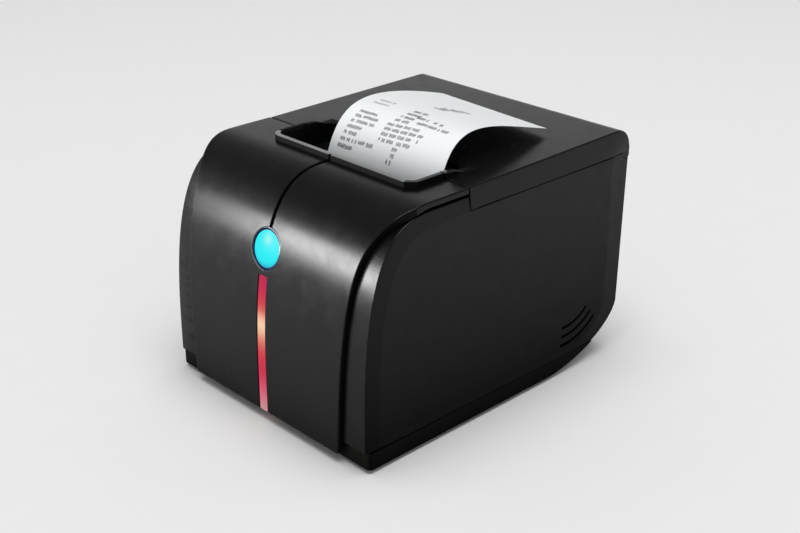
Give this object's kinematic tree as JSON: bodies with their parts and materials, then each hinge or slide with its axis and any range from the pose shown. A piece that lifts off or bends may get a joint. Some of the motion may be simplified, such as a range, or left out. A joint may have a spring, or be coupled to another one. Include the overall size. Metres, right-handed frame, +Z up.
{
  "type": "receipt printer",
  "caption": "Desktop thermal receipt printer with a curved front cover, lit feed button and light strip, hinged lid, paper roll, platen drive and automatic cutter.",
  "frame": {"origin": "centre of the case in plan, at the height of the feet's undersides", "axes": "+Z up, -Y to the front cover, +X to the printer's right seen from the front"},
  "size_m": [0.145, 0.1854, 0.1381],
  "materials": {
    "satin_black": "satin moulded",
    "gloss_black": "gloss",
    "textured_black": "fine spark texture",
    "strip_light": "lit from behind",
    "ring_blue": "gloss",
    "button_glow": "lit from behind",
    "board_green": "solder mask",
    "sheet_steel": "zinc plated",
    "bright_steel": "ground",
    "blade_steel": "ground",
    "head_ceramic": "glazed",
    "heatsink_alloy": "extruded",
    "ribbon_cream": "satin",
    "motor_can": "satin",
    "gear_brass": "cut",
    "gear_white": "acetal",
    "bush_brass": "sintered",
    "platen_rubber": "ground",
    "foot_rubber": "moulded",
    "receipt_paper": "thermal coated",
    "core_card": "spiral card",
    "inner_black": "moulded"
  },
  "bodies": {
    "base": {"base_tray": "textured_black", "left_side_panel": "textured_black", "right_side_panel": "textured_black", "rear_panel": "textured_black", "front_cover": "satin_black", "exit_rim_front": "gloss_black", "light_strip": "strip_light", "button_ring": "ring_blue", "indicator_board": "board_green", "cutter_cover": "textured_black", "frame_plate_left": "sheet_steel", "frame_plate_right": "sheet_steel", "frame_tie_bars": "bright_steel", "print_head": "head_ceramic", "head_heatsink": "heatsink_alloy", "head_springs": "bright_steel", "head_bracket": "sheet_steel", "head_ribbon": "ribbon_cream", "stepper_motor": "motor_can", "idler_pin": "bright_steel", "cutter_frame": "sheet_steel", "cutter_motor": "motor_can", "paper_bucket": "textured_black", "paper_web": "receipt_paper", "paper_sensor": "inner_black", "main_board": "board_green", "interface_board": "board_green", "buzzer": "inner_black", "dc_socket": "inner_black", "usb_socket": "sheet_steel", "lan_socket": "sheet_steel", "drawer_socket": "inner_black", "switch_housing": "inner_black", "hinge_pins": "bright_steel", "rubber_feet": "foot_rubber", "case_screws": "bright_steel"},
    "lid": {"lid_shell": "satin_black", "exit_rim_rear": "gloss_black", "lid_frame": "textured_black", "fixed_blade": "blade_steel", "platen_bushings": "bush_brass", "paper_tail": "receipt_paper"},
    "platen": {"platen_roller": "platen_rubber", "platen_shaft": "bright_steel", "platen_gear": "gear_white"},
    "idler": {"idler_gear": "gear_white"},
    "motor_rotor": {"motor_pinion": "gear_brass"},
    "blade": {"moving_blade": "blade_steel"},
    "cutter_drive": {"cutter_pinion": "gear_brass"},
    "roll": {"paper_roll": "receipt_paper", "roll_core": "core_card"},
    "button": {"feed_button": "button_glow"},
    "rocker": {"power_rocker": "inner_black"}
  },
  "joints": [
    {"name": "lid_hinge", "type": "hinge", "parent": "base", "child": "lid", "pos_m": [0, 0.09025, 0.112], "axis": [-1, 0, 0], "range_deg": [0, 95]},
    {"name": "platen_spin", "type": "hinge", "parent": "lid", "child": "platen", "pos_m": [0, -0.01275, 0.1], "axis": [1, 0, 0], "continuous": true},
    {"name": "idler_spin", "type": "hinge", "parent": "base", "child": "idler", "pos_m": [0, -0.02028, 0.08039], "axis": [1, 0, 0], "continuous": true},
    {"name": "motor_spin", "type": "hinge", "parent": "base", "child": "motor_rotor", "pos_m": [0, -0.03502, 0.07007], "axis": [1, 0, 0], "continuous": true},
    {"name": "roll_spin", "type": "hinge", "parent": "base", "child": "roll", "pos_m": [0, 0.03025, 0.0615], "axis": [1, 0, 0], "continuous": true},
    {"name": "blade_slide", "type": "slide", "parent": "base", "child": "blade", "axis": [0, 1, 0], "range_m": [0, 0.012]},
    {"name": "cutter_spin", "type": "hinge", "parent": "base", "child": "cutter_drive", "pos_m": [0.03, -0.04025, 0.106], "axis": [0, 0, 1], "range_deg": [0, 116]},
    {"name": "button_press", "type": "slide", "parent": "base", "child": "button", "axis": [0, 0.9659, -0.2588], "range_m": [0, 0.0012], "stiffness_N_per_m": 400, "springref_m": -0.002},
    {"name": "power_rock", "type": "hinge", "parent": "base", "child": "rocker", "pos_m": [-0.05, 0.08775, 0.042], "axis": [-1, 0, 0], "range_deg": [0, 16]}
  ],
  "couplings": [
    {"joint": "idler_spin", "follows": "platen_spin", "ratio": -0.75},
    {"joint": "motor_spin", "follows": "platen_spin", "ratio": 1.5},
    {"joint": "cutter_spin", "follows": "blade_slide", "rad_per_m": 166.67}
  ]
}
